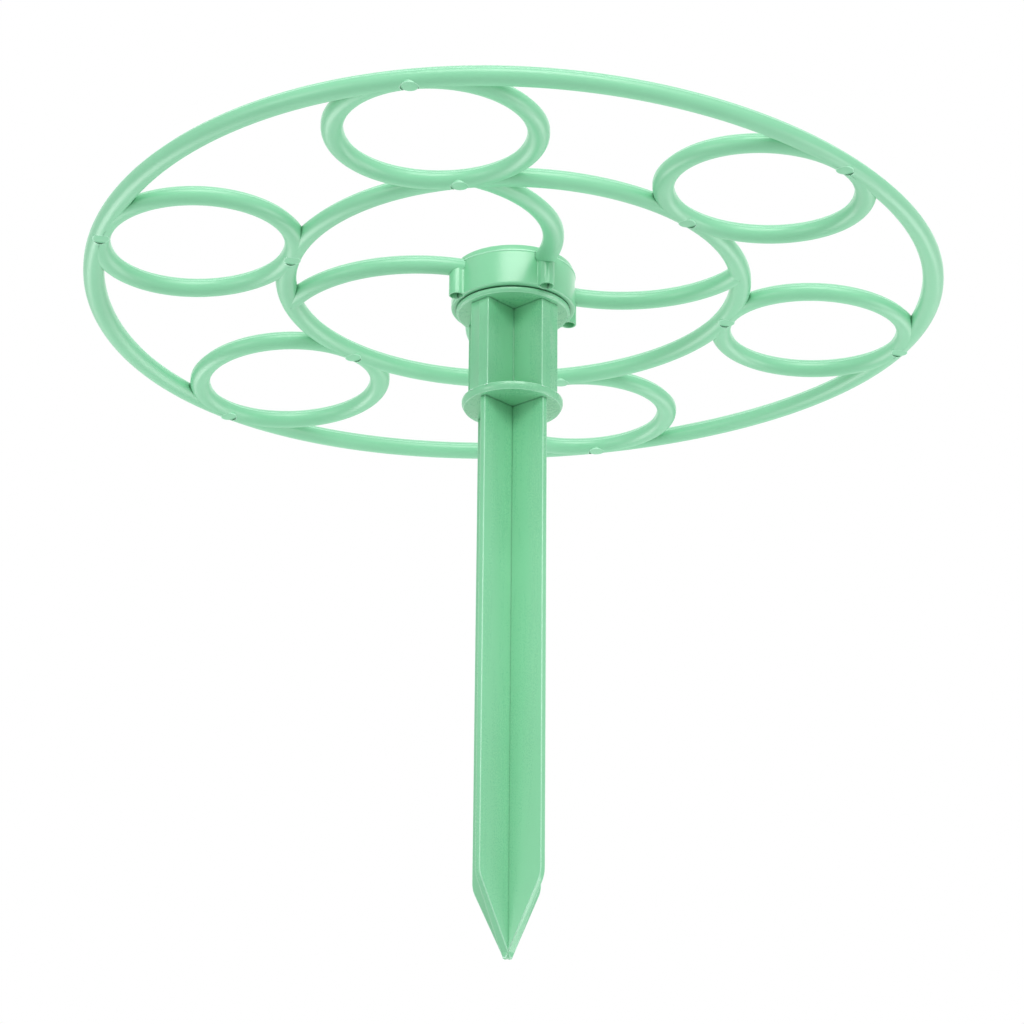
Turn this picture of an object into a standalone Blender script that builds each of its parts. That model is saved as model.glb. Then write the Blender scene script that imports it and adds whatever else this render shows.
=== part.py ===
# Plant support rack: a round rack of plant loops on a stake that is pushed into the soil.
# The rack's hub sits on the stake's spigot, where it turns, and it lifts off upwards.
# Units are metres. +Z is up, the stake's axis is the Z axis and its tip is at the origin.
from math import acos, atan2, ceil, cos, degrees, hypot, pi, radians, sin, sqrt, tau

import bmesh
import bpy
from mathutils import Vector

# Rack: an outer and an inner ring with plant loops between them
rack_diameter = 0.301  # over the outer ring's tube
tube_width = 0.0073  # the rack's tubes are a little flatter than round
tube_height = 0.0064
inner_ring_radius = 0.0800  # to the middle of its tube
loop_count = 6
first_loop_angle = radians(30)
pad_diameter = 0.0059  # flat ejector pads, one where each loop touches each ring
pad_depth = 0.00275  # of a pad's flat face below the tube's middle
pad_trim_margin = 0.0001  # the tube is cut away this much around a pad too
rim_droop = 0.0032  # the thin moulding hangs lower from the hub to its rim
rim_rise = 0.0032  # and is twisted a little, up by this much at two sides of the rim and down between them
rim_rise_angle = radians(79)

# Spokes: arcs from the hub to the inner ring, each with a boss down the hub's wall
spoke_count = 4
spoke_bend_radius = 0.0494
bend_centre_radius = 0.0502  # from the stake's axis to the centre of the bend
spoke_bend_angle = radians(57.6)
boss_diameter = 0.0053
boss_outset = 0.0010  # from the hub's wall out to the boss's axis
boss_shift = radians(-1)  # round the hub, from the middle of the spoke
boss_bore_diameter = 0.0044  # of the blind bore up each boss, which cuts into the hub's wall too
boss_bore_depth = 0.0030

# Hub: a cap open at the bottom, with a socket inside that fits the spigot
hub_diameter = 0.0435
hub_wall = 0.0024
hub_roof = 0.0020
hub_skirt = 0.01135  # from the spokes' middle down to the hub's lower edge
hub_crown = 0.00405  # from the spokes' middle up to the hub's flat top
hub_step_height = 0.00155  # the mould's parting line, where the hub's wall steps in
hub_step_depth = 0.0005
hub_edge_radius = 0.0007
socket_wall = 0.0018

# Stake: a thin cross-shaped blade with a point, a thick cross-shaped neck and two flanges
blade_span = 0.0304  # across two opposite fins
blade_rim_thickness = 0.0021  # the fins are drafted, thinner at their outer edges
blade_root_thickness = 0.0033
blade_length = 0.1957  # with the point
point_length = 0.0258
point_width = 0.0011
shoulder_radius = 0.009
neck_span = 0.0348
neck_fin_thickness = 0.0082
neck_length = 0.0324
stake_turn = radians(61)  # direction of the fins
lower_flange_diameter = 0.0352
lower_flange_thickness = 0.0028
upper_flange_diameter = 0.0400
upper_flange_thickness = 0.0018
flange_upper_edge_radius = 0.0003
flange_lower_edge_width = 0.0007
flange_lower_edge_share = 0.68  # of the flange's thickness that its lower edge is rounded up by
spigot_diameter = 0.0250
spigot_fin_thickness = 0.0030
spigot_lead_in = 0.0012

# Clearances and fineness
seam = 0.0003  # between members that meet
running_gap = 0.0003  # between the spigot and the socket, and above the spigot
thinnest_tip = 0.0008  # of a ring's end where it runs out against a loop
tube_sides = 12
pad_sides = 20
bend_error = 0.00015  # how far a straight step may stray from a bend it follows
turned_steps = 48
arc_steps = 3

# Sizes that follow from the ones above
outer_ring_radius = rack_diameter / 2 - tube_width / 2
loop_radius = (outer_ring_radius - inner_ring_radius) / 2
loop_distance = (outer_ring_radius + inner_ring_radius) / 2
hub_radius = hub_diameter / 2
lower_flange_base = blade_length + seam
neck_base = lower_flange_base + lower_flange_thickness + seam
upper_flange_base = neck_base + neck_length + seam
spigot_base = upper_flange_base + upper_flange_thickness + seam
hub_base = upper_flange_base + upper_flange_thickness + seam
rack_height = hub_base + hub_skirt
hub_ceiling = rack_height + hub_crown - hub_roof
socket_top = hub_ceiling - seam
spigot_top = socket_top - running_gap
socket_bore = spigot_diameter / 2 + running_gap


def clear_scene():
    for item in list(bpy.data.objects):
        bpy.data.objects.remove(item, do_unlink=True)


def new_collection(name):
    collection = bpy.data.collections.new(name)
    bpy.context.scene.collection.children.link(collection)
    return collection


def green_plastic(name):
    material = bpy.data.materials.new(name)
    material.use_nodes = True
    shader = material.node_tree.nodes["Principled BSDF"]
    shader.inputs["Base Color"].default_value = (0.215, 0.645, 0.365, 1)
    shader.inputs["Roughness"].default_value = 0.36
    shader.inputs["Metallic"].default_value = 0
    return material


def make_part(name, mesh, parent):
    item = bpy.data.objects.new(name, mesh)
    parts.objects.link(item)
    item.parent = parent
    mesh.materials.clear()
    mesh.materials.append(green_plastic(name + "_plastic"))
    return item


def make_cutter(name, mesh, parent):
    item = bpy.data.objects.new(name, mesh)
    cutters.objects.link(item)
    item.parent = parent
    item.display_type = "WIRE"
    item.hide_render = True
    return item


def combine(body, tool, operation):
    modifier = body.modifiers.new(operation.title() + "_" + tool.name, "BOOLEAN")
    modifier.operation = operation
    modifier.solver = "EXACT"
    modifier.object = tool


def on_circle(radius, angle, height=0.0):
    return Vector((radius * cos(angle), radius * sin(angle), height))


def finished_mesh(builder, name, sharp_angle=radians(35)):
    mesh = bpy.data.meshes.new(name)
    builder.to_mesh(mesh)
    builder.free()
    mesh.shade_smooth()
    mesh.set_sharp_from_angle(angle=sharp_angle)
    return mesh


def curve_mesh(curve, name):
    source = bpy.data.objects.new(name, curve)
    bpy.context.scene.collection.objects.link(source)
    bpy.context.view_layer.update()
    evaluated = source.evaluated_get(bpy.context.evaluated_depsgraph_get())
    raw = bpy.data.meshes.new_from_object(evaluated)
    builder = bmesh.new()
    builder.from_mesh(raw)
    bmesh.ops.remove_doubles(builder, verts=builder.verts, dist=0.00001)
    bmesh.ops.recalc_face_normals(builder, faces=builder.faces)
    bpy.data.meshes.remove(raw)
    bpy.data.objects.remove(source, do_unlink=True)
    return finished_mesh(builder, name)


def flattened(mesh, clearance=0.0):
    # a round tube whose middle is at height 0 becomes as high as the rack's tubes
    for vertex in mesh.vertices:
        vertex.co.z *= (tube_height / 2 + clearance) / (tube_width / 2 + clearance)
    return mesh


def tube_mesh(name, path):
    curve = bpy.data.curves.new(name, "CURVE")
    curve.dimensions = "3D"
    curve.bevel_depth = tube_width / 2
    curve.bevel_resolution = tube_sides // 2 - 2
    curve.use_fill_caps = True
    spline = curve.splines.new("POLY")
    spline.points.add(len(path) - 1)
    for knot, place in zip(spline.points, path):
        knot.co = (*place, 1)
    return flattened(curve_mesh(curve, name))


def bend_step(radius):
    return sqrt(8 * radius * bend_error)


def arc_path(centre, radius, start, end):
    steps = 2 * ceil(abs(end - start) * radius / bend_step(radius) / 2)
    return [centre + on_circle(radius, start + (end - start) * step / steps) for step in range(steps + 1)]


def torus_mesh(name, ring_radius, clearance=0.0):
    segments = 4 * ceil(tau * ring_radius / bend_step(ring_radius) / 4)
    bpy.ops.mesh.primitive_torus_add(
        major_radius=ring_radius, minor_radius=tube_width / 2 + clearance,
        major_segments=segments, minor_segments=tube_sides)
    source = bpy.context.object
    mesh = source.data
    bpy.data.objects.remove(source, do_unlink=True)
    mesh.name = name
    mesh.shade_smooth()
    return flattened(mesh, clearance)


def cylinder_mesh(name, radius, bottom, top, place=(0, 0), sides=turned_steps):
    builder = bmesh.new()
    bmesh.ops.create_cone(
        builder, cap_ends=True, segments=sides, radius1=radius, radius2=radius, depth=top - bottom)
    bmesh.ops.translate(builder, verts=builder.verts, vec=(*place, (bottom + top) / 2))
    return finished_mesh(builder, name)


def rounded_outline(corners):
    # each corner is x, y and the radius that rounds it
    outline = []
    for index, (x, y, radius) in enumerate(corners):
        corner = Vector((x, y))
        if radius == 0:
            outline.append(corner)
            continue
        back = (Vector(corners[index - 1][:2]) - corner).normalized()
        ahead = (Vector(corners[(index + 1) % len(corners)][:2]) - corner).normalized()
        half = acos(back.dot(ahead)) / 2
        centre = corner + (back + ahead).normalized() * radius / sin(half)
        first = corner + back * radius / (sin(half) / cos(half)) - centre
        turn = pi - 2 * half
        side = 1 if back.cross(ahead) < 0 else -1
        for step in range(arc_steps + 1):
            angle = side * turn * step / arc_steps
            spun_x = first.x * cos(angle) - first.y * sin(angle)
            spun_y = first.x * sin(angle) + first.y * cos(angle)
            outline.append(centre + Vector((spun_x, spun_y)))
    return outline


def fin_pair_mesh(name, outline, rim_thickness, root_thickness):
    # two opposite fins; the outline is distance from the axis and height, up one side of the pair
    reach = max(distance for distance, height in outline)
    builder = bmesh.new()
    front, back = {}, {}
    places = [(distance, height) for distance, height in outline]
    places += [(-distance, height) for distance, height in reversed(outline) if distance > 0]
    for distance, height in places:
        half = (root_thickness + (rim_thickness - root_thickness) * abs(distance) / reach) / 2
        front[distance, height] = builder.verts.new((distance, -half, height))
        back[distance, height] = builder.verts.new((distance, half, height))
    for first, second in zip(places, places[1:] + places[:1]):
        builder.faces.new((front[first], front[second], back[second], back[first]))
    for side in (1, -1):
        half_outline = [(side * distance, height) for distance, height in outline]
        builder.faces.new([front[place] for place in half_outline])
        builder.faces.new([back[place] for place in half_outline])
    bmesh.ops.recalc_face_normals(builder, faces=builder.faces)
    return finished_mesh(builder, name)


def crossed_fins(name, outline, rim_thickness, root_thickness):
    body = make_part(name, fin_pair_mesh(name, outline, rim_thickness, root_thickness), None)
    body.rotation_euler.z = stake_turn
    other_name = name + "_second_fin_pair"
    other = make_cutter(other_name, fin_pair_mesh(other_name, outline, rim_thickness, root_thickness), None)
    other.rotation_euler.z = stake_turn + pi / 2
    combine(body, other, "UNION")


def turned_part(name, profile, closed, parent):
    # the profile is a list of radius and height, down the outer side
    builder = bmesh.new()
    knots = [builder.verts.new((radius, 0, height)) for radius, height in profile]
    for first, second in zip(knots, knots[1:]):
        builder.edges.new((first, second))
    if closed:
        builder.edges.new((knots[-1], knots[0]))
    mesh = bpy.data.meshes.new(name)
    builder.to_mesh(mesh)
    builder.free()
    item = make_part(name, mesh, parent)
    screw = item.modifiers.new("Turned", "SCREW")
    screw.axis = "Z"
    screw.angle = tau
    screw.steps = turned_steps
    screw.render_steps = turned_steps
    screw.use_merge_vertices = True
    screw.merge_threshold = 0.00001
    screw.use_smooth_shade = False
    return item


def quarter_round(centre, width, height, start, end):
    angles = [start + (end - start) * step / arc_steps for step in range(arc_steps + 1)]
    return [(centre[0] + width * cos(angle), centre[1] + height * sin(angle)) for angle in angles]


def loop_angle(index):
    return first_loop_angle + tau * index / loop_count


def bow_at(x, y):
    # how far the rack's bow lifts this place of it
    share = max(0, (hypot(x, y) - hub_radius) / (outer_ring_radius - hub_radius))
    return rim_rise * share ** 2 * cos(2 * (atan2(y, x) - rim_rise_angle)) - rim_droop * share


def bowed(mesh, centre=Vector((0, 0, 0))):
    for vertex in mesh.vertices:
        vertex.co.z += bow_at(vertex.co.x + centre.x, vertex.co.y + centre.y)
    return mesh


def run_out_angle(ring_radius):
    # how far from the touching point a ring's end stops, so that its tip keeps some thickness
    reach = loop_radius + seam + thinnest_tip
    return acos((ring_radius ** 2 + loop_distance ** 2 - reach ** 2) / (2 * ring_radius * loop_distance))


def spoke_meets(radius):
    # angle, seen from the bend's centre line, at which a spoke crosses this distance from the axis
    return acos((radius ** 2 + bend_centre_radius ** 2 - spoke_bend_radius ** 2)
                / (2 * radius * bend_centre_radius))


def build_loops(rack_turn):
    loop_cutters = []
    for index in range(loop_count):
        centre = on_circle(loop_distance, loop_angle(index))
        name = f"plant_loop_{index + 1}"
        loop = make_part(name, bowed(torus_mesh(name, loop_radius), centre), rack_turn)
        loop.location = centre
        for place, distance in (("outer", outer_ring_radius), ("inner", inner_ring_radius)):
            spot = on_circle(distance, loop_angle(index))
            level = bow_at(spot.x, spot.y)
            pad_name = f"{name}_{place}_pad"
            pad_mesh = cylinder_mesh(
                pad_name, pad_diameter / 2, level - tube_height / 2, level, (spot.x, spot.y), pad_sides)
            combine(loop, make_cutter(pad_name, pad_mesh, rack_turn), "UNION")
            trim_mesh = cylinder_mesh(
                pad_name + "_trim", pad_diameter / 2 + pad_trim_margin, level - tube_height,
                level - pad_depth, (spot.x, spot.y), pad_sides)
            combine(loop, make_cutter(pad_name + "_trim", trim_mesh, rack_turn), "DIFFERENCE")
        cutter_name = f"loop_{index + 1}_cutter"
        wide_tube = bowed(torus_mesh(cutter_name, loop_radius, seam), centre)
        cutter = make_cutter(cutter_name, wide_tube, rack_turn)
        cutter.location = centre
        loop_cutters.append(cutter)
    return loop_cutters


def build_ring_arcs(ring_name, ring_radius, loop_cutters, rack_turn):
    stop = run_out_angle(ring_radius)
    for index in range(loop_count):
        start = loop_angle(index) + stop
        end = loop_angle(index + 1) - stop
        name = f"{ring_name}_ring_arc_{index + 1}"
        path = arc_path(Vector((0, 0, 0)), ring_radius, start, end)
        arc = make_part(name, bowed(tube_mesh(name, path)), rack_turn)
        combine(arc, loop_cutters[index], "DIFFERENCE")
        combine(arc, loop_cutters[(index + 1) % loop_count], "DIFFERENCE")


def build_spokes(loop_cutters, rack_turn):
    bore_cutters = []
    wide_hub = cylinder_mesh("hub_cutter", hub_radius + seam, -2 * hub_skirt, 2 * hub_skirt)
    hub_cutter = make_cutter("hub_cutter", wide_hub, rack_turn)
    wide_ring = bowed(torus_mesh("inner_ring_cutter", inner_ring_radius, seam))
    ring_cutter = make_cutter("inner_ring_cutter", wide_ring, rack_turn)
    for index in range(spoke_count):
        bend_angle = spoke_bend_angle + tau * index / spoke_count
        bend_centre = on_circle(bend_centre_radius, bend_angle)
        root = on_circle(hub_radius, bend_angle + spoke_meets(hub_radius))
        tip = on_circle(inner_ring_radius, bend_angle + spoke_meets(inner_ring_radius))
        start = Vector.angle_signed(Vector((1, 0)), (root - bend_centre).xy, 0)
        end = Vector.angle_signed(Vector((1, 0)), (tip - bend_centre).xy, 0)
        sweep = (start - end + pi) % tau - pi
        path = arc_path(bend_centre, spoke_bend_radius, -start, -start + sweep)
        name = f"spoke_{index + 1}"
        spoke = make_part(name, bowed(tube_mesh(name, path)), rack_turn)
        spot = on_circle(hub_radius + boss_outset, bend_angle + spoke_meets(hub_radius) + boss_shift)
        boss_mesh = cylinder_mesh(
            name + "_boss", boss_diameter / 2, -hub_skirt, 0, (spot.x, spot.y), 20)
        combine(spoke, make_cutter(name + "_boss", boss_mesh, rack_turn), "UNION")
        bore_mesh = cylinder_mesh(
            name + "_bore", boss_bore_diameter / 2, -2 * hub_skirt, boss_bore_depth - hub_skirt,
            (spot.x, spot.y), 20)
        bore_cutters.append(make_cutter(name + "_bore", bore_mesh, rack_turn))
        combine(spoke, bore_cutters[-1], "DIFFERENCE")
        combine(spoke, hub_cutter, "DIFFERENCE")
        combine(spoke, ring_cutter, "DIFFERENCE")
        for loop_cutter in loop_cutters:
            gap = (tip - loop_cutter.location).xy.length
            if gap < loop_radius + tube_width * 2:
                combine(spoke, loop_cutter, "DIFFERENCE")
    return bore_cutters


def build_hub(bore_cutters, rack_turn):
    inner = hub_radius - hub_wall
    upper = hub_radius - hub_step_depth
    crown_edge = (upper - hub_edge_radius, hub_crown - hub_edge_radius)
    profile = [(0, hub_crown)]
    profile += quarter_round(crown_edge, hub_edge_radius, hub_edge_radius, pi / 2, 0)
    profile += [
        (upper, hub_step_height), (hub_radius, hub_step_height),
        (hub_radius, -hub_skirt), (inner, -hub_skirt),
        (inner, hub_crown - hub_roof), (0, hub_crown - hub_roof)]
    hub = turned_part("hub", profile, False, rack_turn)
    for cutter in bore_cutters:
        combine(hub, cutter, "DIFFERENCE")


def build_socket(rack_lift):
    outer = socket_bore + socket_wall
    bottom = 0
    top = socket_top - hub_base
    profile = [(outer, top), (outer, bottom), (socket_bore, bottom), (socket_bore, top)]
    turned_part("hub_socket", profile, True, rack_lift)


def build_flange(name, diameter, base, thickness):
    radius = diameter / 2
    top = base + thickness
    upper = flange_upper_edge_radius
    width = flange_lower_edge_width
    lower = thickness * flange_lower_edge_share
    profile = [(0, top)]
    profile += quarter_round((radius - upper, top - upper), upper, upper, pi / 2, 0)
    profile += quarter_round((radius - width, base + lower), width, lower, 0, -pi / 2)
    profile += [(0, base)]
    turned_part(name, profile, False, None)


def build_stake():
    half = blade_span / 2
    tip = point_width / 2
    shoulder = rounded_outline([
        (tip, 0, 0), (half, point_length, shoulder_radius), (half, blade_length, 0), (tip, blade_length, 0)])
    blade = [(0, 0)] + [(place.x, place.y) for place in shoulder[:-1]] + [(0, blade_length)]
    crossed_fins("stake_blade", blade, blade_rim_thickness, blade_root_thickness)
    build_flange("lower_flange", lower_flange_diameter, lower_flange_base, lower_flange_thickness)
    half = neck_span / 2
    neck_top = neck_base + neck_length
    neck = [(0, neck_base), (half, neck_base), (half, neck_top), (0, neck_top)]
    crossed_fins("stake_neck", neck, neck_fin_thickness, neck_fin_thickness)
    build_flange("upper_flange", upper_flange_diameter, upper_flange_base, upper_flange_thickness)
    half = spigot_diameter / 2
    lead = half - spigot_lead_in
    spigot = [
        (0, spigot_base), (half, spigot_base), (half, spigot_top - spigot_lead_in), (lead, spigot_top),
        (0, spigot_top)]
    crossed_fins("stake_spigot", spigot, spigot_fin_thickness, spigot_fin_thickness)


def build_rack():
    rack_lift = bpy.data.objects.new("rack_lift", None)
    rack_turn = bpy.data.objects.new("rack_turn", None)
    parts.objects.link(rack_lift)
    parts.objects.link(rack_turn)
    rack_lift.location = (0, 0, hub_base)
    rack_turn.parent = rack_lift
    rack_turn.location = (0, 0, hub_skirt)
    loop_cutters = build_loops(rack_turn)
    build_ring_arcs("outer", outer_ring_radius, loop_cutters, rack_turn)
    build_ring_arcs("inner", inner_ring_radius, loop_cutters, rack_turn)
    bore_cutters = build_spokes(loop_cutters, rack_turn)
    build_hub(bore_cutters, rack_turn)
    build_socket(rack_lift)


clear_scene()
parts = new_collection("plant_support_rack")
cutters = new_collection("cutters")
build_stake()
build_rack()
bpy.context.view_layer.update()
print("Rack plane at", round(rack_height, 5), "and hub top at", round(rack_height + hub_crown, 5))
print("Plant loop opening", round(2 * loop_radius - tube_width, 5))
print("Boss angle", round(degrees(spoke_bend_angle + spoke_meets(hub_radius)), 2))
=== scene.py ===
# Plant support rack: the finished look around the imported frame.
# The rack and its stake are two mouldings in the same green plastic,
# so the pieces of each run into one another.
from math import acos, cos, pi, radians, sin, sqrt, tau

import bmesh
import bpy
from mathutils import Matrix, Vector


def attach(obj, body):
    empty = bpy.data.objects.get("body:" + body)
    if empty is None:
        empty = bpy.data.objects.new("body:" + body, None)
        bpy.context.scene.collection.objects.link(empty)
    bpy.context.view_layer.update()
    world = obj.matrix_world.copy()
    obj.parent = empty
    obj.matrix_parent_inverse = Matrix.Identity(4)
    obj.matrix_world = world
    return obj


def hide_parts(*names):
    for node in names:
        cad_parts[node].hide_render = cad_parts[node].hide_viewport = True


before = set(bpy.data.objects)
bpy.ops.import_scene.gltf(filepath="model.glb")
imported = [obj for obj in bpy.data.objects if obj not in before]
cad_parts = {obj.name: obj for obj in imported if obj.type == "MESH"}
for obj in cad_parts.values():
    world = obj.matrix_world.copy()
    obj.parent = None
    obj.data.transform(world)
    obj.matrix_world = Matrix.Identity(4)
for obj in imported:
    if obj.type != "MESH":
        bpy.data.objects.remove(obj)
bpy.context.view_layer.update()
print("Frame loaded:", len(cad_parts), "nodes")


# Node building

class Wire:
    # an output socket that Python's arithmetic works on
    def __init__(self, bench, socket):
        self.bench = bench
        self.socket = socket

    def __add__(self, other):
        return self.bench.maths("ADD", self, other)

    def __radd__(self, other):
        return self.bench.maths("ADD", other, self)

    def __sub__(self, other):
        return self.bench.maths("SUBTRACT", self, other)

    def __rsub__(self, other):
        return self.bench.maths("SUBTRACT", other, self)

    def __mul__(self, other):
        return self.bench.maths("MULTIPLY", self, other)

    def __rmul__(self, other):
        return self.bench.maths("MULTIPLY", other, self)

    def __truediv__(self, other):
        return self.bench.maths("DIVIDE", self, other)

    def __rtruediv__(self, other):
        return self.bench.maths("DIVIDE", other, self)

    def output(self, name):
        # another output of the same node
        return Wire(self.bench, self.socket.node.outputs[name])


class Bench:
    # builds nodes in one tree, of a material or of geometry
    def __init__(self, tree):
        self.tree = tree

    def node(self, kind, settings=None, values=None, output=0):
        made = self.tree.nodes.new(kind)
        for name, setting in (settings or {}).items():
            setattr(made, name, setting)
        for name, value in (values or {}).items():
            self.feed(made.inputs[name], value)
        return Wire(self, made.outputs[output]) if made.outputs else None

    def feed(self, socket, value):
        if isinstance(value, Wire):
            self.tree.links.new(value.socket, socket)
        else:
            socket.default_value = value

    def maths(self, operation, first, second=0.0):
        return self.node("ShaderNodeMath", {"operation": operation}, {0: first, 1: second})

    def blend(self, share, first, second):
        # a mix of two colours
        return self.node("ShaderNodeMix", {"data_type": "RGBA"}, {0: share, 6: first, 7: second}, output=2)

    def ramp(self, value, low, high):
        # 0 below the low value, 1 above the high one and smooth between them
        return self.node("ShaderNodeMapRange", {"interpolation_type": "SMOOTHSTEP"}, {
            "Value": value, "From Min": low, "From Max": high})


# Materials

plasticNoise = {
    # detail, roughness and distortion of the noise
    "clouds": (3.0, 0.5, 0.0),
    "streaks": (4.0, 0.55, 0.4),
    "grain": (2.0, 0.6, 0.0),
    "peel": (2.0, 0.5, 0.0),
    "scuffs": (6.0, 0.7, 1.2),
}


def pattern(bench, kind, place, scale):
    detail, roughness, distortion = plasticNoise[kind]
    return bench.node("ShaderNodeTexNoise", None, {
        "Vector": place, "Scale": scale, "Detail": detail, "Roughness": roughness, "Distortion": distortion})


def blocked(bench, width, inside):
    # share of the directions that meet a face within the width:
    # looking into the plastic it is high at outer edges, and looking out of it in corners
    openness = bench.node(
        "ShaderNodeAmbientOcclusion", {"inside": inside, "only_local": inside, "samples": 6},
        {"Distance": width}, output="AO")
    return 1 - openness


def greenPlastic(name, look):
    # satin plastic: faint clouds in the colour, flow streaks, fine grain and a few scuffs, with a painted
    # highlight on outer edges and painted shade in tight corners
    material = bpy.data.materials.new(name)
    material.use_nodes = True
    material.node_tree.nodes.clear()
    bench = Bench(material.node_tree)
    place = bench.node("ShaderNodeTexCoord", output="Object")
    stretched = bench.node("ShaderNodeMapping", None, {"Vector": place, "Scale": look["streakStretch"]})
    clouds = pattern(bench, "clouds", place, look["cloudScale"])
    streaks = pattern(bench, "streaks", stretched, look["streakScale"])
    grain = pattern(bench, "grain", place, look["grainScale"])
    peel = pattern(bench, "peel", place, look["peelScale"])
    scuffs = bench.ramp(
        pattern(bench, "scuffs", stretched, look["scuffScale"]), look["scuffStart"], look["scuffFull"])
    shade = clouds * look["cloudShare"] + streaks * (1 - look["cloudShare"])
    depth = bench.node("ShaderNodeMapRange", {"clamp": True}, {
        "Value": shade, "From Min": look["deepest"], "From Max": look["palest"]})
    tinted = bench.blend(depth, look["deepColour"], look["paleColour"])
    scuffed = bench.blend(scuffs * look["scuffColourShare"], tinted, look["scuffColour"])
    # painted highlight: outer edges are painted paler, as if they catch the light, and painted shade: tight
    # corners are painted darker
    edges = bench.ramp(blocked(bench, look["edgeHighlightWidth"], True), look["edgeHighlightStart"], look["edgeHighlightFull"])
    edgeHighlighted = bench.blend(edges * look["edgeHighlightShare"], scuffed, look["edgeHighlightColour"])
    corners = bench.ramp(blocked(bench, look["cornerShadeWidth"], False), look["cornerShadeStart"], look["cornerShadeFull"])
    finished = bench.blend(corners * look["cornerShadeShare"], edgeHighlighted, look["cornerShadeColour"])
    roughness = look["roughness"] + (streaks - 0.5) * look["roughnessSpread"] + (
        (grain - 0.5) * look["grainRoughness"] + scuffs * look["scuffRoughness"])
    height = grain * look["grainDepth"] + peel * look["peelDepth"] - scuffs * look["scuffDepth"]
    bump = bench.node("ShaderNodeBump", None, {"Strength": 1.0, "Distance": 1.0, "Height": height})
    shader = bench.node("ShaderNodeBsdfPrincipled", None, {
        "Base Color": finished, "Roughness": roughness, "Normal": bump, "IOR": look["ior"]})
    bench.node("ShaderNodeOutputMaterial", None, {"Surface": shader})
    return material


rackLook = {
    "deepColour": (0.185, 0.565, 0.305, 1),
    "paleColour": (0.210, 0.605, 0.335, 1),
    "scuffColour": (0.290, 0.690, 0.420, 1),
    "scuffColourShare": 0.35,
    "cloudShare": 0.6,  # of the shading; the streaks give the rest
    "deepest": 0.3,  # shading at and below which the deep colour is full
    "palest": 0.7,
    "cloudScale": 22.0,
    "streakScale": 60.0,
    "streakStretch": (1.0, 1.0, 2.2),
    "grainScale": 2600.0,
    "peelScale": 520.0,
    "scuffScale": 95.0,
    "scuffStart": 0.66,
    "scuffFull": 0.78,
    "roughness": 0.31,
    "roughnessSpread": 0.08,
    "grainRoughness": 0.06,
    "scuffRoughness": 0.10,
    "grainDepth": 0.000012,
    "peelDepth": 0.000030,
    "scuffDepth": 0.000010,
    "ior": 1.70,
    # painted highlight: outer edges are mixed towards a paler colour
    "edgeHighlightWidth": 0.0006,
    "edgeHighlightStart": 0.18,  # blocked share at which the painted edge highlight begins
    "edgeHighlightFull": 0.42,
    "edgeHighlightShare": 0.85,
    "edgeHighlightColour": (0.580, 0.980, 0.750, 1),
    # painted shade: tight corners are mixed towards a darker colour
    "cornerShadeWidth": 0.0009,
    "cornerShadeStart": 0.22,  # blocked share at which the painted corner shade begins
    "cornerShadeFull": 0.48,
    "cornerShadeShare": 0.75,
    "cornerShadeColour": (0.030, 0.200, 0.075, 1),
}
# the stake's outer edges get a stronger, paler painted highlight, and the bosses a narrower one
stakeLook = dict(
    rackLook, streakStretch=(1.0, 1.0, 0.12), streakScale=140.0, roughness=0.28,
    edgeHighlightStart=0.20, edgeHighlightFull=0.40, edgeHighlightShare=0.95, edgeHighlightColour=(0.700, 1.000, 0.850, 1))
bossLook = dict(rackLook, edgeHighlightWidth=0.0003, roughness=0.32)
# painted light: the tubes are the same plastic as the rest, painted a little paler because the thin tubes let
# more light through
tubeLookPaintedPaler = dict(
    rackLook, deepColour=(0.212, 0.600, 0.345, 1), paleColour=(0.240, 0.645, 0.380, 1), roughness=0.37,
    cornerShadeShare=0.5)
tubePlastic = greenPlastic("tube_plastic_painted_paler", tubeLookPaintedPaler)
rackPlastic = greenPlastic("rack_plastic_finish", rackLook)
bossPlastic = greenPlastic("boss_plastic_finish", bossLook)
stakePlastic = greenPlastic("stake_plastic_finish", stakeLook)
print("Materials made")


# Geometry node trees

def newTree(name, inputs):
    tree = bpy.data.node_groups.new(name, "GeometryNodeTree")
    tree.interface.new_socket(name="Geometry", in_out="INPUT", socket_type="NodeSocketGeometry")
    for label, (kind, value) in inputs.items():
        socket = tree.interface.new_socket(name=label, in_out="INPUT", socket_type="NodeSocket" + kind)
        if value is not None:
            socket.default_value = value
    tree.interface.new_socket(name="Geometry", in_out="OUTPUT", socket_type="NodeSocketGeometry")
    bench = Bench(tree)
    entry = bench.node("NodeGroupInput")
    given = {label: entry.output(label) for label in ("Geometry", *inputs)}
    return bench, given


def finishTree(bench, shape, material):
    # every tree ends the same way: real copies, smooth faces and the material
    real = bench.node("GeometryNodeRealizeInstances", None, {"Geometry": shape})
    smooth = bench.node("GeometryNodeSetShadeSmooth", None, {"Geometry": real})
    dressed = bench.node("GeometryNodeSetMaterial", None, {"Geometry": smooth, "Material": material})
    bench.node("NodeGroupOutput", None, {"Geometry": dressed})


def copiesAround(bench, shape, count, firstAngle):
    points = bench.node("GeometryNodePoints", None, {"Count": count})
    index = bench.node("GeometryNodeInputIndex")
    turn = index * tau / count + firstAngle
    turned = bench.node("ShaderNodeCombineXYZ", None, {"Z": turn})
    placed = bench.node("GeometryNodeInstanceOnPoints", None, {
        "Points": points, "Instance": shape, "Rotation": turned})
    return bench.node("GeometryNodeRealizeInstances", None, {"Geometry": placed})


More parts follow.
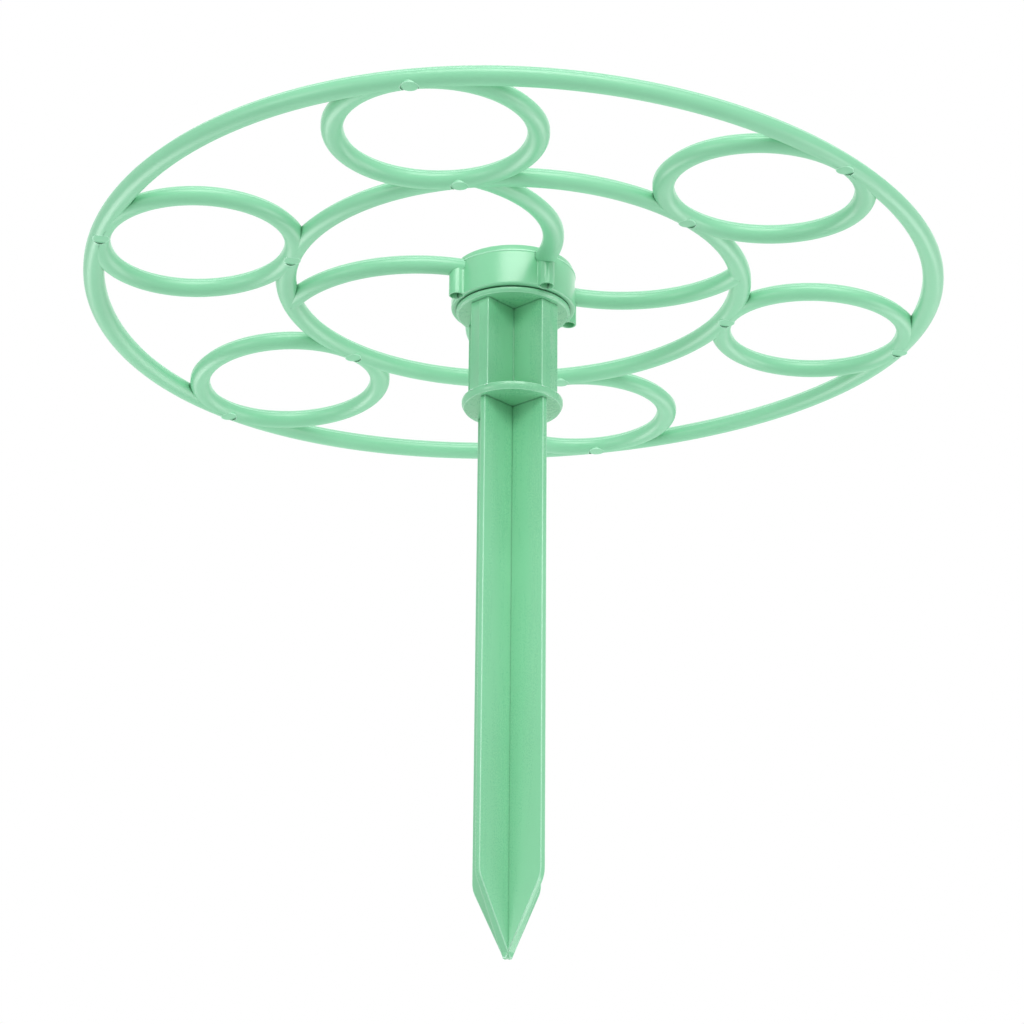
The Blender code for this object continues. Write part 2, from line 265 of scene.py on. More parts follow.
def bowed(bench, shape, given):
    # the rack hangs lower towards its rim and is twisted a little
    place = bench.node("ShaderNodeSeparateXYZ", None, {0: bench.node("GeometryNodeInputPosition")})
    x, y = place.output("X"), place.output("Y")
    distance = bench.maths("SQRT", x * x + y * y)
    reach = given["Bow End"] - given["Bow Start"]
    share = bench.maths("MAXIMUM", (distance - given["Bow Start"]) / reach, 0.0)
    angle = bench.maths("ARCTAN2", y, x) - given["Rise Angle"]
    twist = bench.maths("COSINE", angle * 2)
    lift = share * share * twist * given["Rise"] - share * given["Droop"]
    offset = bench.node("ShaderNodeCombineXYZ", None, {"Z": lift})
    return bench.node("GeometryNodeSetPosition", None, {"Geometry": shape, "Offset": offset})


bow = {
    "Bow Start": 0.02175,  # the hub's radius
    "Bow End": 0.14685,  # the outer ring's radius
    "Droop": 0.0032,
    "Rise": 0.0032,
    "Rise Angle": radians(79),
}
bowInputs = {label: ("Float", value) for label, value in bow.items()}


def makeTubeTree():
    # a tube along the object's own curve, copied round the stake's axis
    bench, given = newTree("moulded_tubes", {
        "Profile": ("Object", None), "Count": ("Int", 1), "First Angle": ("Float", 0.0),
        "Closed Ends": ("Bool", False), **bowInputs, "Material": ("Material", None)})
    profile = bench.node("GeometryNodeObjectInfo", None, {"Object": given["Profile"]}, output="Geometry")
    tube = bench.node("GeometryNodeCurveToMesh", None, {
        "Curve": given["Geometry"], "Profile Curve": profile, "Fill Caps": given["Closed Ends"]})
    copies = copiesAround(bench, tube, given["Count"], given["First Angle"])
    finishTree(bench, bowed(bench, copies, given), given["Material"])
    return bench.tree


def makeCopyTree():
    # copies of the object's own mesh round the stake's axis
    bench, given = newTree("moulded_copies", {
        "Count": ("Int", 1), "First Angle": ("Float", 0.0), **bowInputs, "Material": ("Material", None)})
    copies = copiesAround(bench, given["Geometry"], given["Count"], given["First Angle"])
    finishTree(bench, bowed(bench, copies, given), given["Material"])
    return bench.tree


tubeTree = makeTubeTree()
copyTree = makeCopyTree()


# Shapes

def newObject(name, data):
    item = bpy.data.objects.new(name, data)
    bpy.context.scene.collection.objects.link(item)
    return item


mergeDistance = 0.000002  # points that are nearer than this become one
plainSharpAngle = 50  # degrees between faces, past which an edge is sharp


def finishMesh(mesh, sharpAngle=plainSharpAngle):
    # merged doubles, faces that point outwards, and smooth shading between sharp edges
    builder = bmesh.new()
    builder.from_mesh(mesh)
    bmesh.ops.remove_doubles(builder, verts=builder.verts, dist=mergeDistance)
    bmesh.ops.recalc_face_normals(builder, faces=builder.faces)
    builder.to_mesh(mesh)
    builder.free()
    mesh.shade_smooth()
    mesh.set_sharp_from_angle(angle=radians(sharpAngle))


def grown(source, name, tree, settings):
    # runs the tree on the source object and keeps the result as a plain mesh
    modifier = source.modifiers.new("Grown", "NODES")
    modifier.node_group = tree
    for socket in tree.interface.items_tree:
        if socket.item_type == "SOCKET" and socket.in_out == "INPUT" and socket.name in settings:
            modifier[socket.identifier] = settings[socket.name]
    bpy.context.view_layer.update()
    evaluated = source.evaluated_get(bpy.context.evaluated_depsgraph_get())
    mesh = bpy.data.meshes.new_from_object(evaluated)
    source.modifiers.remove(modifier)
    bpy.data.objects.remove(source, do_unlink=True)
    finishMesh(mesh)
    mesh.name = name
    return newObject(name, mesh)


def pathCurve(name, places, closed):
    curve = bpy.data.curves.new(name, "CURVE")
    curve.dimensions = "3D"
    curve.twist_mode = "Z_UP"
    spline = curve.splines.new("POLY")
    spline.points.add(len(places) - 1)
    for knot, place in zip(spline.points, places):
        knot.co = (*place, 1)
    spline.use_cyclic_u = closed
    return newObject(name, curve)


def around(radius, angle, height=0.0):
    return Vector((radius * cos(angle), radius * sin(angle), height))


def ringPlaces(radius, steps, centre=Vector((0, 0, 0))):
    return [centre + around(radius, tau * step / steps) for step in range(steps)]


def roundedCorners(corners, steps):
    # an outline with its corners rounded; each corner is x, y and radius
    outline = []
    for index, (x, y, radius) in enumerate(corners):
        corner = Vector((x, y))
        if radius == 0:
            outline.append(corner)
            continue
        back = (Vector(corners[index - 1][:2]) - corner).normalized()
        ahead = (Vector(corners[(index + 1) % len(corners)][:2]) - corner).normalized()
        half = acos(max(-1, min(1, back.dot(ahead)))) / 2
        centre = corner + (back + ahead).normalized() * radius / sin(half)
        first = corner + back * radius * cos(half) / sin(half) - centre
        turn = pi - 2 * half
        side = 1 if back.cross(ahead) < 0 else -1
        for step in range(steps + 1):
            angle = side * turn * step / steps
            outline.append(centre + Vector((
                first.x * cos(angle) - first.y * sin(angle), first.x * sin(angle) + first.y * cos(angle))))
    return outline


def meshFrom(builder, name):
    # the built faces as a new mesh
    mesh = bpy.data.meshes.new(name)
    builder.to_mesh(mesh)
    builder.free()
    return mesh


def turnedMesh(name, outline, steps):
    # a closed outline of radius and height, turned round the stake's axis
    builder = bmesh.new()
    rings = []
    for radius, height in outline:
        if radius < mergeDistance:
            rings.append([builder.verts.new((0, 0, height))] * steps)
        else:
            turns = [tau * step / steps for step in range(steps)]
            rings.append([builder.verts.new(around(radius, turn, height)) for turn in turns])
    for lower, upper in zip(rings, rings[1:] + rings[:1]):
        if lower[0] is lower[1] and upper[0] is upper[1]:
            continue
        for step in range(steps):
            after = (step + 1) % steps
            corners = dict.fromkeys((lower[step], lower[after], upper[after], upper[step]))
            builder.faces.new(list(corners))
    mesh = meshFrom(builder, name)
    finishMesh(mesh)
    return mesh


def stackedMesh(name, layers):
    # a solid between outlines of the same number of points at rising heights
    builder = bmesh.new()
    rings = []
    for height, outline in layers:
        rings.append([builder.verts.new((place.x, place.y, height)) for place in outline])
    for lower, upper in zip(rings, rings[1:]):
        for step in range(len(lower)):
            after = (step + 1) % len(lower)
            builder.faces.new((lower[step], lower[after], upper[after], upper[step]))
    builder.faces.new(rings[0])
    builder.faces.new(rings[-1])
    mesh = meshFrom(builder, name)
    finishMesh(mesh)
    return mesh


def ready(item, body, material, replaced=()):
    # dresses a finished piece and puts it on its body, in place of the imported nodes
    item.data.materials.clear()
    item.data.materials.append(material)
    for face in item.data.polygons:
        face.material_index = 0
    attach(item, body)
    if replaced:
        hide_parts(*replaced)


def numbered(stem, count):
    return [f"{stem}_{index + 1}" for index in range(count)]


# Tubes of the rack

tube = {
    "halfWidth": 0.00365,
    "halfHeight": 0.0032,
    "height": 0.24525,  # of the middle of the spokes' roots
    "sides": 40,
    "partingAngle": radians(16),  # the mould's parting line, up from the tube's widest place
    "flash": 0.00014,
    "flashSpread": radians(3.0),
    "upperStep": 0.00016,  # the upper half of the mould is this much smaller
    "flashShape": (  # place in spreads, share of the flash and share of the step
        (-1.6, 0.0, 0.0), (-1.0, 0.0, 0.0), (-0.6, 0.75, 0.0), (0.0, 1.0, 0.0),
        (0.6, 0.5, 0.0), (1.0, 0.0, 1.0), (1.6, 0.0, 1.0)),
}


def tubeProfile():
    parting, spread = tube["partingAngle"], tube["flashSpread"]
    marks = []
    for step in range(tube["sides"]):
        angle = -pi / 2 + tau * (step + 0.5) / tube["sides"]
        if min(abs(angle - parting), abs(angle - (pi - parting))) > spread * 2:
            marks.append((angle, -tube["upperStep"] if parting < angle < pi - parting else 0.0))
    for turn, flashShare, stepShare in tube["flashShape"]:
        offset = tube["flash"] * flashShare - tube["upperStep"] * stepShare
        marks.append((parting + spread * turn, offset))
        marks.append((pi - parting - spread * turn, offset))
    marks.sort()
    return [
        Vector(((tube["halfWidth"] + offset) * cos(angle), -(tube["halfHeight"] + offset) * sin(angle), 0))
        for angle, offset in marks]


profile = pathCurve("tube_profile", tubeProfile(), True)
tubeSettings = dict(bow, Profile=profile, Material=tubePlastic)

rings = {
    "outerRadius": bow["Bow End"],
    "innerRadius": 0.0800,
    "outerSteps": 320,
    "innerSteps": 192,
}
loops = {
    "count": 6,
    "firstAngle": radians(30),
    "steps": 120,
}
loops["radius"] = (rings["outerRadius"] - rings["innerRadius"]) / 2
loops["distance"] = (rings["outerRadius"] + rings["innerRadius"]) / 2

outerRing = grown(
    pathCurve("outer_path", ringPlaces(rings["outerRadius"], rings["outerSteps"]), True),
    "outer_ring", tubeTree, tubeSettings)
innerRing = grown(
    pathCurve("inner_path", ringPlaces(rings["innerRadius"], rings["innerSteps"]), True),
    "inner_ring", tubeTree, tubeSettings)
plantLoops = grown(
    pathCurve("loop_path", ringPlaces(loops["radius"], loops["steps"], around(loops["distance"], 0)), True),
    "plant_loops", tubeTree,
    dict(tubeSettings, Count=loops["count"], **{"First Angle": loops["firstAngle"]}))
print("Rings and plant loops made")

spokes = {
    "count": 4,
    "bendRadius": 0.0494,
    "bendDistance": 0.0502,  # from the stake's axis to the centre of the bend
    "bendAngle": radians(57.6),
    "rootRadius": 0.0200,  # inside the hub's wall
    "steps": 48,
}


def spokeMeets(radius):
    # angle, seen from the bend's centre line, at which a spoke crosses this distance from the axis
    return acos((radius ** 2 + spokes["bendDistance"] ** 2 - spokes["bendRadius"] ** 2)
                / (2 * radius * spokes["bendDistance"]))


def spokePlaces():
    centre = around(spokes["bendDistance"], 0)
    root = around(spokes["rootRadius"], spokeMeets(spokes["rootRadius"])) - centre
    tip = around(rings["innerRadius"], spokeMeets(rings["innerRadius"])) - centre
    start = root.xy.angle_signed(Vector((1, 0)))
    sweep = (tip.xy.angle_signed(root.xy) + pi) % tau - pi
    return [
        centre + around(spokes["bendRadius"], start + sweep * step / spokes["steps"])
        for step in range(spokes["steps"] + 1)]


rackSpokes = grown(
    pathCurve("spoke_path", spokePlaces(), False), "spokes", tubeTree,
    dict(tubeSettings, Count=spokes["count"], **{"First Angle": spokes["bendAngle"], "Closed Ends": True}))
bpy.data.objects.remove(profile, do_unlink=True)
print("Spokes made")

pads = {
    "radius": 0.00295,
    "depth": 0.00275,  # of the flat face below the tube's middle
    "edge": 0.0001,
    "edgeSteps": 4,
    "trimMargin": 0.00003,
    "trimFlare": 0.00005,
    "trimRim": 0.0001,  # below the tube, where the flare ends
    "trimShare": 0.995,  # of the depth, so that the pad's face covers the trimmed tube
    "steps": 64,
}


def atPads(name, outline, material):
    # the outline turned under each place where a loop touches a ring
    mesh = turnedMesh(name, outline, pads["steps"])
    both = bmesh.new()
    for distance in (rings["outerRadius"], rings["innerRadius"]):
        before = len(both.verts)
        both.from_mesh(mesh)
        both.verts.ensure_lookup_table()
        bmesh.ops.translate(both, verts=both.verts[before:], vec=(distance, 0, 0))
    both.to_mesh(mesh)
    both.free()
    return grown(
        newObject(name, mesh), name, copyTree,
        dict(bow, Material=material, Count=loops["count"], **{"First Angle": loops["firstAngle"]}))


def padOutline():
    radius, bottom = pads["radius"], -pads["depth"]
    return [(0, 0)] + [tuple(place) for place in roundedCorners([
        (radius, 0, 0), (radius, bottom, pads["edge"]), (0, bottom, 0)], pads["edgeSteps"])]


def trimOutline():
    radius, top = pads["radius"] + pads["trimMargin"], -pads["depth"] * pads["trimShare"]
    flared, rim = radius + pads["trimFlare"], -tube["halfHeight"] - pads["trimRim"]
    bottom = -2 * tube["halfHeight"]
    return [(0, top), (radius, top), (flared, rim), (flared, bottom), (0, bottom)]


def trimmed(item, cutter):
    # cuts the cutter's shape out of the item
    modifier = item.modifiers.new("Trimmed", "BOOLEAN")
    modifier.operation = "DIFFERENCE"
    modifier.solver = "EXACT"
    modifier.object = cutter
    bpy.context.view_layer.update()
    mesh = bpy.data.meshes.new_from_object(item.evaluated_get(bpy.context.evaluated_depsgraph_get()))
    item.modifiers.remove(modifier)
    item.data = mesh
    finishMesh(mesh)


ejectorPads = atPads("ejector_pads", padOutline(), tubePlastic)
padTrim = atPads("pad_trim", trimOutline(), tubePlastic)
for item in (outerRing, innerRing, plantLoops):
    trimmed(item, padTrim)
bpy.data.objects.remove(padTrim, do_unlink=True)

# Hub

hub = {
    "radius": bow["Bow Start"],
    "wall": 0.0024,
    "roof": 0.0020,
    "skirt": 0.01135,  # below the spokes' middle
    "crown": 0.00405,  # above it
    "partingHeight": 0.00155,  # of the wall's parting line, above the spokes' middle
    "upperStep": 0.0004,  # the wall above that line stands back by this much
    "upperDraft": 0.0003,
    "flash": 0.00020,
    "flashWidth": 0.00034,
    "flashEdge": 0.00008,
    "flat": 0.0003,  # beside the flash and the lip, so that the wall is shaded flat
    "topEdge": 0.0007,
    "lip": 0.0007,
    "innerLip": 0.0003,
    "roofFillet": 0.0004,
    "edgeSteps": 6,
    "steps": 160,
    "gateRadius": 0.0018,  # of the moulding's gate mark, in a dip in the top
    "gateHeight": 0.0002,
    "gateEdge": 0.0003,
    "gateDip": 0.0005,
    "gateDipRadius": 0.0042,
    "gateDipEdge": 0.0004,
}


def hubMesh():
    radius, crown, skirt = hub["radius"], hub["crown"], hub["skirt"]
    parting = hub["partingHeight"]
    inner, upper = radius - hub["wall"], radius - hub["upperStep"]
    flashOut, flashHalf, flat = radius + hub["flash"], hub["flashWidth"] / 2, hub["flat"]
    flashTop, flashFoot = parting + hub["flashWidth"], parting - hub["flashWidth"]
    gate, dip = hub["gateRadius"], crown - hub["gateDip"]
    outline = [
        (0, dip + hub["gateHeight"]), (gate - hub["gateEdge"], dip + hub["gateHeight"]), (gate, dip),
        (hub["gateDipRadius"] - hub["gateDipEdge"], dip), (hub["gateDipRadius"], crown)]
    wall = roundedCorners([
        (hub["gateDipRadius"], crown, 0), (upper - hub["upperDraft"], crown, hub["topEdge"]),
        (upper, flashTop + flat, 0), (upper, flashTop, 0),
        (flashOut, parting + flashHalf, hub["flashEdge"]), (flashOut, parting - flashHalf, hub["flashEdge"]),
        (radius, flashFoot, 0), (radius, flashFoot - flat, 0), (radius, -skirt + hub["lip"] + flat, 0),
        (radius, -skirt, hub["lip"]), (inner, -skirt, hub["innerLip"]),
        (inner, crown - hub["roof"], hub["roofFillet"]), (0, crown - hub["roof"], 0)], hub["edgeSteps"])
    outline += [tuple(place) for place in wall[1:]]
    return turnedMesh("hub_cap", outline, hub["steps"])


hubCap = newObject("hub_cap", hubMesh())

bosses = {
    "radius": 0.00275,
    "outset": 0.0010,  # from the hub's wall to the boss's middle
    "shift": radians(0.3),  # round the hub, from the middle of the spoke
    "foot": 0.0008,  # from the hub's outer face into its wall
    "edge": 0.0002,
    "edgeSteps": 4,
    "fillet": 0.0003,
    "filletSteps": 5,
    "boreRadius": 0.0022,
    "boreDepth": 0.0030,
    "boreEdge": 0.0001,
    "steps": 24,
}


def bossOutline(inset):
    # half round with small fillets where it leaves the hub's wall, seen from above
    radius = bosses["radius"] - inset
    middle = hub["radius"] + bosses["outset"]
    foot = hub["radius"] - bosses["foot"]
    fillet = bosses["fillet"]
    sideways = radius + fillet
    wallAt = sqrt((hub["radius"] + fillet) ** 2 - sideways ** 2)
    right = [Vector((foot, -sideways))]
    for step in range(bosses["filletSteps"] + 1):
        angle = pi / 2 * step / bosses["filletSteps"]
        right.append(Vector((wallAt - fillet * cos(angle), -sideways + fillet * (1 - cos(angle)))))
    outline = right[:]
    for step in range(bosses["steps"] + 1):
        angle = -pi / 2 + pi * step / bosses["steps"]
        outline.append(Vector((middle + radius * cos(angle), radius * sin(angle))))
    return outline + [Vector((place.x, -place.y)) for place in reversed(right)]


def bossMesh():
    bottom = -hub["skirt"]
    edge = bosses["edge"]
    layers = []
    for step in range(bosses["edgeSteps"] + 1):
        angle = pi / 2 * step / bosses["edgeSteps"]
        layers.append((bottom + edge * (1 - cos(angle)), bossOutline(edge * (1 - sin(angle)))))
    layers.append((0.0, bossOutline(0)))
    return stackedMesh("boss", layers)


def boreMesh():
    # a blind bore up the boss, which cuts into the hub's wall too
    radius, depth, edge = bosses["boreRadius"], bosses["boreDepth"], bosses["boreEdge"]
    bottom = -hub["skirt"]
    outline = [
        (0, bottom + depth), (radius, bottom + depth), (radius, bottom + edge), (radius + edge, bottom),
        (radius + edge, bottom - depth), (0, bottom - depth)]
    mesh = turnedMesh("bore", outline, bosses["steps"] * 2)
    mesh.transform(Matrix.Translation((hub["radius"] + bosses["outset"], 0, 0)))
    return mesh


def atBosses(name, mesh):
    return grown(
        newObject(name, mesh), name, copyTree,
        dict(bow, Material=rackPlastic, Count=spokes["count"], Droop=0.0, Rise=0.0,
             **{"First Angle": spokes["bendAngle"] + spokeMeets(hub["radius"]) + bosses["shift"]}))


hubBosses = atBosses("hub_bosses", bossMesh())
bores = atBosses("boss_bores", boreMesh())
for item in (hubCap, hubBosses):
    trimmed(item, bores)
bpy.data.objects.remove(bores, do_unlink=True)

for item in (outerRing, innerRing, plantLoops, rackSpokes, ejectorPads, hubCap, hubBosses):
    item.data.transform(Matrix.Translation((0, 0, tube["height"])))
ready(outerRing, "rack", tubePlastic, numbered("outer_ring_arc", 6))
ready(innerRing, "rack", tubePlastic, numbered("inner_ring_arc", 6))
ready(plantLoops, "rack", tubePlastic, numbered("plant_loop", 6))
ready(rackSpokes, "rack", tubePlastic, numbered("spoke", 4))
ready(ejectorPads, "rack", tubePlastic)
ready(hubCap, "rack", rackPlastic, ["hub"])
ready(hubBosses, "rack", bossPlastic)
print("Hub, bosses and pads made")

# Stake

stakeTurn = radians(61)  # of its fins round the axis
spareFlat = 0.00012  # beside a rounded edge, so that the fins are shaded flat
cornerSteps = 4
flanges = {
    # radius, bottom and top
    "lower": (0.0176, 0.1960, 0.1988),
    "upper": (0.0200, 0.2318, 0.2336),
    "upperEdge": 0.0003,
    "lowerWidth": 0.0007,
    "lowerShare": 0.68,
    "footEdge": 0.0002,
    "edgeSteps": 8,
    "sideSteps": 10,
    "footSteps": 4,
    "steps": 144,
}


def flangeMesh(name, radius, bottom, top):
    # a disc with a small upper edge and a side that falls inwards as a parabola
    width, height, edge = flanges["lowerWidth"], (top - bottom) * flanges["lowerShare"], flanges["footEdge"]
    upperEdge = roundedCorners([
        (0, top, 0), (radius, top, flanges["upperEdge"]), (radius, bottom + height, 0)], flanges["edgeSteps"])
    outline = [tuple(place) for place in upperEdge]
    for step in range(1, flanges["sideSteps"] + 1):
        down = step / flanges["sideSteps"]
        outline.append((radius - width * down ** 2, bottom + edge + (height - edge) * (1 - down)))
    for step in range(1, flanges["footSteps"] + 1):
        angle = pi / 2 * step / flanges["footSteps"]
        outline.append((radius - width - edge * (1 - cos(angle)), bottom + edge * (1 - sin(angle))))
    return turnedMesh(name, outline + [(0, bottom)], flanges["steps"])


bladeFins = {
    "span": 0.0304,
    "rim": 0.0021,  # the fins' thickness at their outer edges
    "root": 0.0033,
    "top": 0.1962,
    "pointHeight": 0.0258,
    "pointWidth": 0.0011,
    "shoulderRadius": 0.009,
    "shoulderSteps": 14,
    "edge": 0.0002,
    "edgeSegments": 3,
    "edgeAngle": radians(50),
    "sharpAngle": 20,
}


def finPair(name, turn):
    # two opposite drafted fins of the blade with their half of the point
    half, tip, top = bladeFins["span"] / 2, bladeFins["pointWidth"] / 2, bladeFins["top"]
    root, taper = bladeFins["root"], bladeFins["rim"] - bladeFins["root"]
    shoulder = roundedCorners([
        (tip, 0, 0), (half, bladeFins["pointHeight"], bladeFins["shoulderRadius"]),
        (half, top, 0), (tip, top, 0)], bladeFins["shoulderSteps"])
    outline = [(0, 0)] + [(place.x, place.y) for place in shoulder[:-1]] + [(0, top)]
    places = outline + [(-x, z) for x, z in reversed(outline) if x > 0]
    builder = bmesh.new()
    front, back = {}, {}
    for x, z in places:
        thickness = root + taper * abs(x) / half
        for side, corners in ((-1, front), (1, back)):
            spun = Matrix.Rotation(turn, 3, "Z") @ Vector((x, side * thickness / 2, z))
            corners[x, z] = builder.verts.new(spun)
    for first, second in zip(places, places[1:] + places[:1]):
        builder.faces.new((front[first], front[second], back[second], back[first]))
    for side in (1, -1):
        builder.faces.new([front[side * x, z] for x, z in outline])
        builder.faces.new([back[side * x, z] for x, z in outline])
    bmesh.ops.recalc_face_normals(builder, faces=builder.faces)
    item = newObject(name, meshFrom(builder, name))
    bevel = item.modifiers.new("Edges", "BEVEL")
    bevel.width = bladeFins["edge"]
    bevel.segments = bladeFins["edgeSegments"]
    bevel.limit_method = "ANGLE"
    bevel.angle_limit = bladeFins["edgeAngle"]
    return item


def makeBlade():
    blade = finPair("stake_blade_fins", stakeTurn)
    other = finPair("other_fins", stakeTurn + pi / 2)
    crossing = blade.modifiers.new("Crossing", "BOOLEAN")
    crossing.operation = "UNION"
    crossing.solver = "EXACT"
    crossing.object = other
    bpy.context.view_layer.update()
    mesh = bpy.data.meshes.new_from_object(blade.evaluated_get(bpy.context.evaluated_depsgraph_get()))
    bpy.data.objects.remove(other, do_unlink=True)
    blade.modifiers.clear()
    blade.data = mesh
    finishMesh(mesh, bladeFins["sharpAngle"])
    return blade


neckFins = {
    "span": 0.0348,
    "thickness": 0.0082,
    "base": 0.1983,
    "top": 0.2322,
    "edge": 0.0004,
    "fillet": 0.00015,
    "ridge": 0.00006,  # the parting line down the middle of its end faces
    "ridgeWidth": 0.00024,
    "lead": 0.0,
}
spigotSunk = 0.0002  # its foot's depth in the upper flange
spigotFins = {
    "span": 0.0250,
    "thickness": 0.0030,
    "base": flanges["upper"][2] - spigotSunk,
    "top": 0.2467,
    "edge": 0.0003,
    "fillet": 0.0005,
    "ridge": 0.0,
    "ridgeWidth": 0.0,
    "lead": 0.0012,  # its fins narrow by this much towards the top
}


def crossOutline(fins, reach):
    # four fins seen from above, with rounded outer edges, filleted inner corners
    # and a ridge down each end where they have one
    half, side = fins["thickness"] / 2, fins["ridgeWidth"] / 2
    edge, fillet, crest = fins["edge"], fins["fillet"], reach + fins["ridge"]
    corners = []
    for quarter in range(4):
        turn = stakeTurn + quarter * pi / 2
        fin = [(reach, -half, edge)]
        if fins["ridge"]:
            fin += [(reach, -side, 0), (crest, -side / 3, 0), (crest, side / 3, 0), (reach, side, 0)]
        fin += [
            (reach, half, edge), (reach - edge - spareFlat, half, 0), (half + fillet + spareFlat, half, 0),
            (half, half, fillet), (half, half + fillet + spareFlat, 0), (half, reach - edge - spareFlat, 0)]
        for x, y, radius in fin:
            corners.append((x * cos(turn) - y * sin(turn), x * sin(turn) + y * cos(turn), radius))
    return roundedCorners(corners, cornerSteps)


def crossMesh(name, fins):
    reach, top, lead = fins["span"] / 2, fins["top"], fins["lead"]
    layers = [(fins["base"], crossOutline(fins, reach))]
    if lead:
        layers.append((top - lead, crossOutline(fins, reach)))
    layers.append((top, crossOutline(fins, reach - lead)))
    return stackedMesh(name, layers)


blade = makeBlade()
neck = newObject("stake_neck_fins", crossMesh("stake_neck_fins", neckFins))
spigot = newObject("stake_spigot_fins", crossMesh("stake_spigot_fins", spigotFins))
soilFlange = newObject("soil_flange", flangeMesh("soil_flange", *flanges["lower"]))
hubFlange = newObject("hub_flange", flangeMesh("hub_flange", *flanges["upper"]))
ready(blade, "stake", stakePlastic, ["stake_blade"])
ready(neck, "stake", stakePlastic, ["stake_neck"])
ready(spigot, "stake", stakePlastic, ["stake_spigot"])
ready(soilFlange, "stake", stakePlastic, ["lower_flange"])
ready(hubFlange, "stake", stakePlastic, ["upper_flange"])

# the socket is hidden in the hub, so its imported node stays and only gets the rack's plastic
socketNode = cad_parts["hub_socket"]
socketNode.data.materials.clear()
socketNode.data.materials.append(rackPlastic)
print("Stake made")

# Studio

studio = {
    "floorHeight": -1.60,
    "floorRadius": 3.0,
    "floorSides": 96,
    "floorColour": (0.86, 0.86, 0.86, 1),
    "fleckColour": (0.90, 0.90, 0.90, 1),
    "fleckScale": 300.0,
    "fadeStart": 0.45,  # share of the radius, past which the floor fades away
    "fadeEnd": 0.95,
    "skyStrength": 0.66,
    "groundStrength": 0.55,
    "groundLevel": -0.4,
    "skyLevel": 0.6,
    "target": Vector((0, 0, 0.2)),  # which the lamps point at
}
camera = {
    # the photograph's own view
    "place": Vector((0.2448, -1.0578, -0.2917)),
    "aim": Vector((0.0002, 0.0001, 0.1573)),
    "roll": 0.00839,
    "lens": 120.49,
    "sensorWidth": 36,
    "nearest": 0.05,
    "farthest": 20,
}
lamps = {
    # azimuth and elevation in degrees and distance, all from the target, then width, height and power
    "front_softbox": (-74.5, 25, 1.6, 1.40, 0.55, 13.5),
    "back_softbox": (103, 50, 1.6, 2.6, 2.0, 8.0),
    "front_right_softbox": (-42, 18, 1.6, 0.9, 0.9, 2.5),
    "left_softbox": (-132, -15, 1.6, 0.55, 0.55, 3.0),
    "low_right_softbox": (13, -35, 1.6, 0.55, 0.55, 4.0),
    "low_back_left_softbox": (148, -35, 1.6, 0.8, 0.8, 7.0),
    "low_back_right_softbox": (58, -35, 1.6, 0.8, 0.8, 5.6),
}


def makeFloor():
    radius = studio["floorRadius"]
    builder = bmesh.new()
    bmesh.ops.create_circle(builder, cap_ends=True, radius=radius, segments=studio["floorSides"])
    mesh = meshFrom(builder, "studio_floor")
    mesh.transform(Matrix.Translation((0, 0, studio["floorHeight"])))
    floor = newObject("studio_floor", mesh)
    material = bpy.data.materials.new("studio_floor_paper")
    material.use_nodes = True
    material.node_tree.nodes.clear()
    bench = Bench(material.node_tree)
    place = bench.node("ShaderNodeTexCoord", output="Object")
    length = bench.node("ShaderNodeVectorMath", {"operation": "LENGTH"}, {0: place}, output="Value")
    fade = bench.ramp(length, radius * studio["fadeStart"], radius * studio["fadeEnd"])
    flecks = bench.node("ShaderNodeTexNoise", None, {
        "Vector": place, "Scale": studio["fleckScale"], "Detail": 3.0})
    colour = bench.blend(flecks, studio["floorColour"], studio["fleckColour"])
    shader = bench.node("ShaderNodeBsdfPrincipled", None, {"Base Color": colour, "Roughness": 0.85})
    clear = bench.node("ShaderNodeBsdfTransparent")
    mixed = bench.node("ShaderNodeMixShader", None, {0: fade, 1: shader, 2: clear})
    bench.node("ShaderNodeOutputMaterial", None, {"Surface": mixed})
    mesh.materials.append(material)


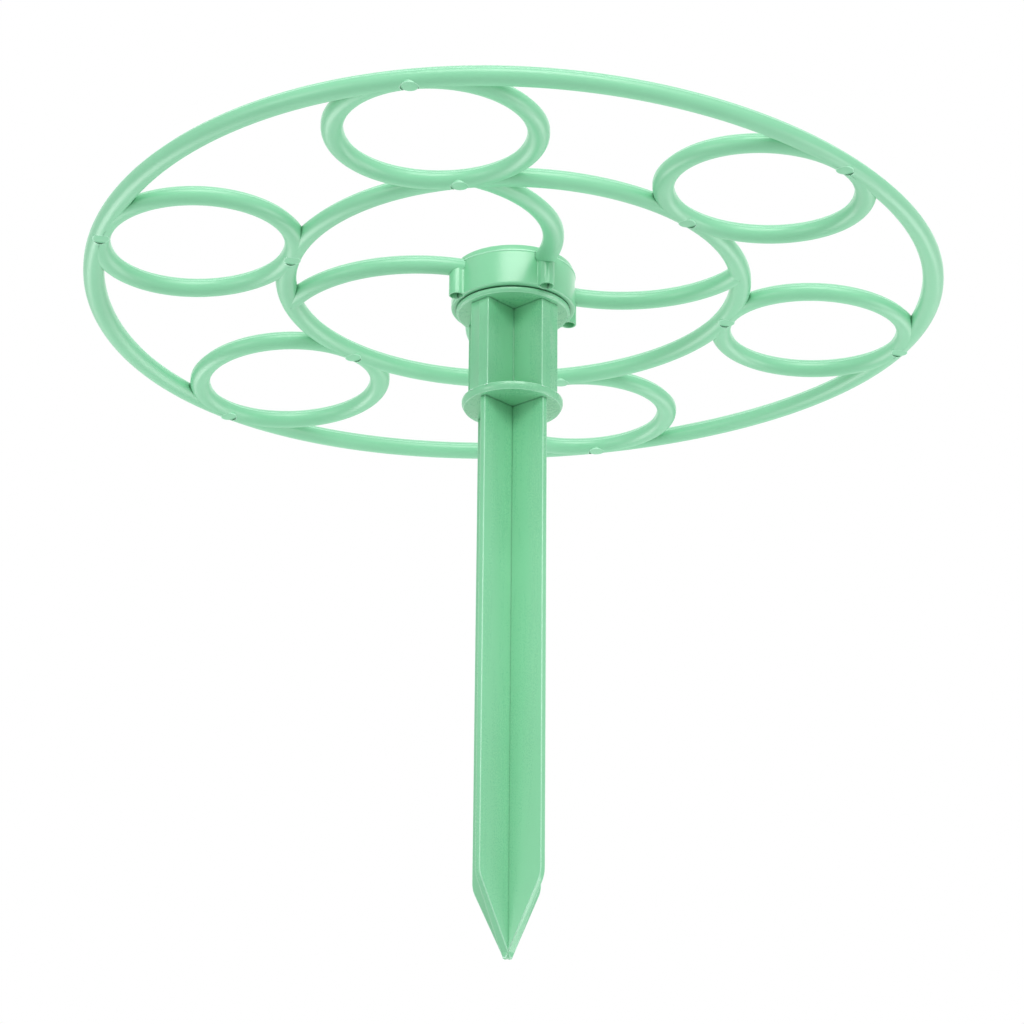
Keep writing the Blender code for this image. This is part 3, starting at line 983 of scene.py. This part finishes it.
def makeWorld():
    # camera, glossy and transmission rays see white, and the object is lit by a weaker sky and ground
    world = bpy.data.worlds.new("studio_world")
    bpy.context.scene.world = world
    world.use_nodes = True
    world.node_tree.nodes.clear()
    bench = Bench(world.node_tree)
    path = bench.node("ShaderNodeLightPath")
    shown = path.output("Is Camera Ray")
    for ray in ("Is Glossy Ray", "Is Transmission Ray"):
        shown = bench.maths("MAXIMUM", shown, path.output(ray))
    way = bench.node("ShaderNodeSeparateXYZ", None, {0: bench.node("ShaderNodeTexCoord", output="Generated")})
    level = bench.node("ShaderNodeMapRange", {"interpolation_type": "SMOOTHSTEP"}, {
        "Value": way.output("Z"), "From Min": studio["groundLevel"], "From Max": studio["skyLevel"],
        "To Min": studio["groundStrength"], "To Max": studio["skyStrength"]})
    strength = shown + (1 - shown) * level
    light = bench.node("ShaderNodeBackground", None, {"Color": (1, 1, 1, 1), "Strength": strength})
    bench.node("ShaderNodeOutputWorld", None, {"Surface": light})


def makeLamp(name, azimuth, elevation, distance, width, height, power):
    light = bpy.data.lights.new(name, "AREA")
    light.shape = "RECTANGLE"
    light.size = width
    light.size_y = height
    light.energy = power
    lamp = newObject(name, light)
    away = around(cos(radians(elevation)), radians(azimuth), sin(radians(elevation)))
    lamp.location = studio["target"] + away * distance
    lamp.rotation_euler = away.to_track_quat("Z", "Y").to_euler()


def makeCamera():
    data = bpy.data.cameras.new("camera")
    data.lens = camera["lens"]
    data.sensor_width = camera["sensorWidth"]
    data.clip_start = camera["nearest"]
    data.clip_end = camera["farthest"]
    item = newObject("camera", data)
    ahead = (camera["aim"] - camera["place"]).normalized()
    right = ahead.cross(Vector((0, 0, 1))).normalized()
    up = right.cross(ahead)
    tiltedRight = right * cos(camera["roll"]) + up * sin(camera["roll"])
    tiltedUp = up * cos(camera["roll"]) - right * sin(camera["roll"])
    axes = Matrix((tiltedRight, tiltedUp, -ahead)).transposed()
    item.matrix_world = Matrix.Translation(camera["place"]) @ axes.to_4x4()
    bpy.context.scene.camera = item


makeFloor()
makeWorld()
for name, settings in lamps.items():
    makeLamp(name, *settings)
makeCamera()
bpy.context.scene.view_settings.view_transform = "Standard"
print("Studio made")
